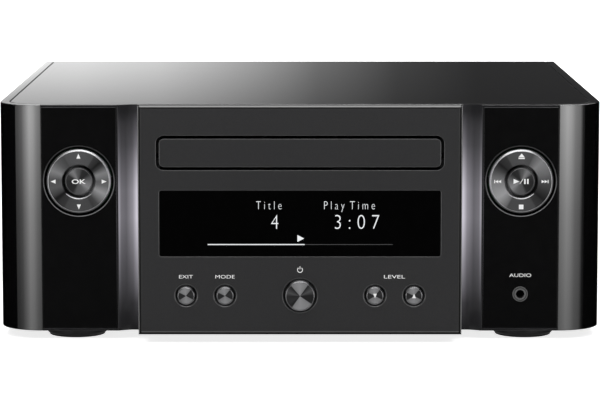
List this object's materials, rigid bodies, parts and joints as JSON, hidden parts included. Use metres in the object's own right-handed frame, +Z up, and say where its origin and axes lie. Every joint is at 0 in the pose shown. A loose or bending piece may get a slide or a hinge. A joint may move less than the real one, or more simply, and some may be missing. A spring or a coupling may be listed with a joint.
{
  "type": "cd receiver",
  "caption": "Compact disc receiver: a metal centre panel with disc tray, display and buttons between gloss wings with four-way pads, in a low case on feet.",
  "frame": {"origin": "middle of the footprint, on the surface that the feet stand on", "axes": "+X to the right seen from the front, +Y to the back, +Z up; the front faces -Y"},
  "size_m": [0.28, 0.303, 0.111],
  "materials": {
    "panel_metal": "satin",
    "gloss_black": "gloss",
    "black_plastic": "matte",
    "red_plastic": "satin",
    "painted_sheet": "satin",
    "button_metal": "turned",
    "bright_trim": "polished",
    "light_guide": "translucent",
    "soft_rubber": "matte",
    "board": "satin",
    "bright_steel": "satin",
    "bare_aluminium": "satin",
    "gear_plastic": "satin",
    "pulley_brass": "satin",
    "lens_glass": "polished",
    "can_sleeve": "gloss",
    "winding": "satin",
    "flat_cable": "satin"
  },
  "bodies": {
    "chassis": {"base_chassis": "painted_sheet", "rear_panel": "painted_sheet", "top_cover": "painted_sheet", "left_side_panel": "gloss_black", "right_side_panel": "gloss_black", "front_frame": "black_plastic", "centre_panel": "panel_metal", "left_window": "gloss_black", "right_window": "gloss_black", "light_guides": "light_guide", "pad_trim_rings": "bright_trim", "display_window": "gloss_black", "feet": "black_plastic", "foot_pads": "soft_rubber", "case_screws": "bright_steel", "headphone_jack": "bright_trim", "control_boards": "board", "tact_switches": "black_plastic", "display_module": "black_plastic", "ribbon_cable": "flat_cable", "loader_frame": "black_plastic", "clamp_bridge": "bright_steel", "loading_belt": "soft_rubber", "loading_motor": "bright_steel", "main_board": "board", "capacitors": "can_sleeve", "transformer": "winding", "heat_sink": "bare_aluminium", "speaker_terminals": "black_plastic", "rear_sockets": "black_plastic", "mains_inlet": "black_plastic"},
    "tray": {"disc_tray": "black_plastic", "tray_front": "panel_metal"},
    "loading_gear": {"loading_gear": "gear_plastic"},
    "loading_pulley": {"loading_pulley": "gear_plastic"},
    "motor_pulley": {"motor_pulley": "pulley_brass"},
    "traverse": {"traverse_frame": "bare_aluminium", "spindle_motor": "bright_steel", "guide_rods": "bright_steel", "sled_motor": "bright_steel"},
    "turntable": {"turntable": "black_plastic"},
    "sled": {"pickup_sled": "black_plastic", "pickup_lens": "lens_glass"},
    "sled_gear": {"sled_gear": "gear_plastic"},
    "clamp": {"clamp_puck": "black_plastic"},
    "back_button": {"back_button": "button_metal"},
    "input_button": {"input_button": "button_metal"},
    "power_button": {"power_button": "button_metal"},
    "volume_down_button": {"volume_down_button": "button_metal"},
    "volume_up_button": {"volume_up_button": "button_metal"},
    "enter_button": {"enter_button": "button_metal"},
    "play_button": {"play_button": "button_metal"},
    "menu_gimbal": {"menu_gimbal": "black_plastic"},
    "menu_ring": {"menu_ring": "button_metal"},
    "transport_gimbal": {"transport_gimbal": "black_plastic"},
    "transport_ring": {"transport_ring": "button_metal"},
    "terminal_cap_1": {"terminal_cap_1": "red_plastic"},
    "terminal_cap_2": {"terminal_cap_2": "black_plastic"},
    "terminal_cap_3": {"terminal_cap_3": "red_plastic"},
    "terminal_cap_4": {"terminal_cap_4": "black_plastic"}
  },
  "joints": [
    {"name": "tray_slide", "type": "slide", "parent": "chassis", "child": "tray", "axis": [0, -1, 0], "range_m": [0, 0.134]},
    {"name": "loading_gear_turn", "type": "hinge", "parent": "chassis", "child": "loading_gear", "pos_m": [0.0392, -0.1295, 0.082], "axis": [0, 0, 1], "range_deg": [-777.8, 10]},
    {"name": "loading_pulley_turn", "type": "hinge", "parent": "chassis", "child": "loading_pulley", "pos_m": [0.022, -0.1295, 0.08], "axis": [0, 0, 1], "range_deg": [-10, 1076.3]},
    {"name": "motor_pulley_turn", "type": "hinge", "parent": "chassis", "child": "motor_pulley", "pos_m": [-0.016, -0.1155, 0.08], "axis": [0, 0, 1], "range_deg": [-10, 3400.4]},
    {"name": "traverse_lower", "type": "hinge", "parent": "chassis", "child": "traverse", "pos_m": [0, 0.0023, 0.078], "axis": [1, 0, 0], "range_deg": [0, 4.5]},
    {"name": "turntable_spin", "type": "hinge", "parent": "traverse", "child": "turntable", "pos_m": [0, -0.0772, 0.089], "axis": [0, 0, 1], "continuous": true},
    {"name": "clamp_spin", "type": "hinge", "parent": "chassis", "child": "clamp", "pos_m": [0, -0.0772, 0.095], "axis": [0, 0, 1], "continuous": true},
    {"name": "sled_slide", "type": "slide", "parent": "traverse", "child": "sled", "axis": [0, 1, 0], "range_m": [-0.004, 0.032]},
    {"name": "sled_gear_turn", "type": "hinge", "parent": "traverse", "child": "sled_gear", "pos_m": [0.029, -0.0372, 0.082], "axis": [0, 0, 1], "range_deg": [-315.6, 48.2]},
    {"name": "back_press", "type": "slide", "parent": "chassis", "child": "back_button", "axis": [0, 1, 0], "range_m": [0, 0.0008], "stiffness_N_per_m": 500},
    {"name": "input_press", "type": "slide", "parent": "chassis", "child": "input_button", "axis": [0, 1, 0], "range_m": [0, 0.0008], "stiffness_N_per_m": 500},
    {"name": "power_press", "type": "slide", "parent": "chassis", "child": "power_button", "axis": [0, 1, 0], "range_m": [0, 0.0008], "stiffness_N_per_m": 500},
    {"name": "volume_down_press", "type": "slide", "parent": "chassis", "child": "volume_down_button", "axis": [0, 1, 0], "range_m": [0, 0.0008], "stiffness_N_per_m": 500},
    {"name": "volume_up_press", "type": "slide", "parent": "chassis", "child": "volume_up_button", "axis": [0, 1, 0], "range_m": [0, 0.0008], "stiffness_N_per_m": 500},
    {"name": "enter_press", "type": "slide", "parent": "chassis", "child": "enter_button", "axis": [0, 1, 0], "range_m": [0, 0.0008], "stiffness_N_per_m": 500},
    {"name": "play_press", "type": "slide", "parent": "chassis", "child": "play_button", "axis": [0, 1, 0], "range_m": [0, 0.0008], "stiffness_N_per_m": 500},
    {"name": "menu_tilt_up_down", "type": "hinge", "parent": "chassis", "child": "menu_gimbal", "pos_m": [-0.10215, -0.1325, 0.0745], "axis": [1, 0, 0], "range_deg": [-2.5, 2.5], "stiffness_Nm_per_rad": 0.3},
    {"name": "menu_tilt_sideways", "type": "hinge", "parent": "menu_gimbal", "child": "menu_ring", "pos_m": [-0.10215, -0.1325, 0.0745], "axis": [0, 0, 1], "range_deg": [-2.5, 2.5], "stiffness_Nm_per_rad": 0.3},
    {"name": "transport_tilt_up_down", "type": "hinge", "parent": "chassis", "child": "transport_gimbal", "pos_m": [0.10215, -0.1325, 0.0745], "axis": [1, 0, 0], "range_deg": [-2.5, 2.5], "stiffness_Nm_per_rad": 0.3},
    {"name": "transport_tilt_sideways", "type": "hinge", "parent": "transport_gimbal", "child": "transport_ring", "pos_m": [0.10215, -0.1325, 0.0745], "axis": [0, 0, 1], "range_deg": [-2.5, 2.5], "stiffness_Nm_per_rad": 0.3},
    {"name": "terminal_cap_1_turn", "type": "hinge", "parent": "chassis", "child": "terminal_cap_1", "pos_m": [-0.065, 0.1425, 0.0385], "axis": [0, 1, 0], "range_deg": [0, 720]},
    {"name": "terminal_cap_2_turn", "type": "hinge", "parent": "chassis", "child": "terminal_cap_2", "pos_m": [-0.047, 0.1425, 0.0385], "axis": [0, 1, 0], "range_deg": [0, 720]},
    {"name": "terminal_cap_3_turn", "type": "hinge", "parent": "chassis", "child": "terminal_cap_3", "pos_m": [-0.029, 0.1425, 0.0385], "axis": [0, 1, 0], "range_deg": [0, 720]},
    {"name": "terminal_cap_4_turn", "type": "hinge", "parent": "chassis", "child": "terminal_cap_4", "pos_m": [-0.011, 0.1425, 0.0385], "axis": [0, 1, 0], "range_deg": [0, 720]}
  ],
  "couplings": [
    {"joint": "loading_gear_turn", "follows": "tray_slide", "rad_per_m": -100},
    {"joint": "loading_pulley_turn", "follows": "tray_slide", "rad_per_m": 138.89},
    {"joint": "motor_pulley_turn", "follows": "tray_slide", "rad_per_m": 441.6},
    {"joint": "clamp_spin", "follows": "turntable_spin", "ratio": 1},
    {"joint": "sled_gear_turn", "follows": "sled_slide", "rad_per_m": -166.67}
  ]
}
